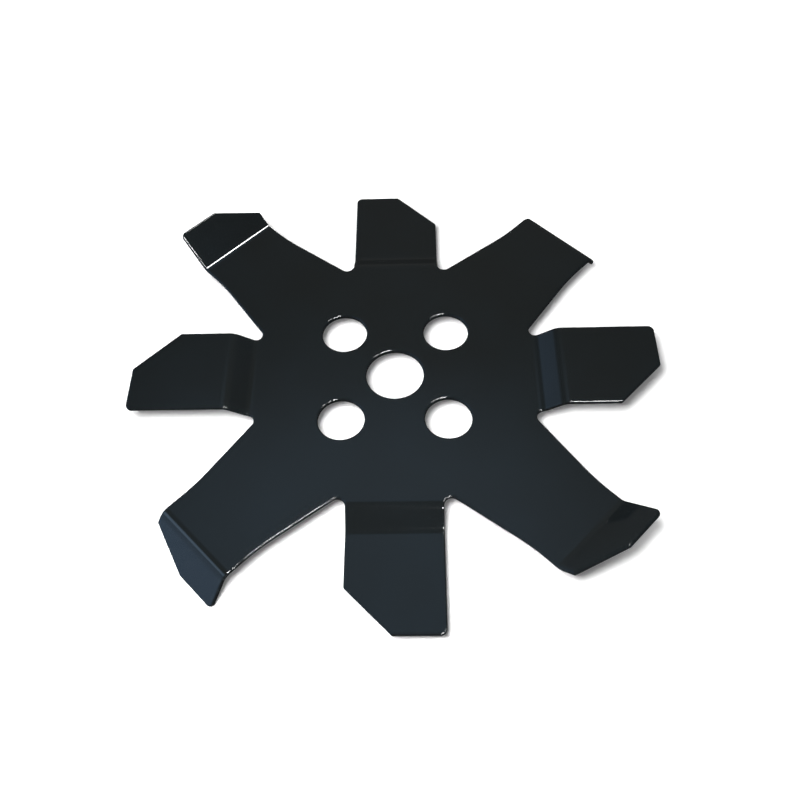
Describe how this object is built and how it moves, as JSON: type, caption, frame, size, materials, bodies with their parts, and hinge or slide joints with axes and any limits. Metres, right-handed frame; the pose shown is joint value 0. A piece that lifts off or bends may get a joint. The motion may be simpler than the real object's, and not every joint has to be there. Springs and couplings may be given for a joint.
{
  "type": "brushcutter blade",
  "caption": "Pressed steel brushcutter blade with a round bore, joggled arms and folded flap arms in turn, and round relief holes in its hub.",
  "frame": {"origin": "centre of the bore on the underside of the flat hub", "axes": "+Z along the bore axis towards the upper side; +X along a joggled arm that is pressed up"},
  "size_m": [0.23, 0.23, 0.0287],
  "materials": {
    "enamelled_steel": "gloss"
  },
  "bodies": {
    "root": {"blade": "enamelled_steel"}
  },
  "joints": []
}
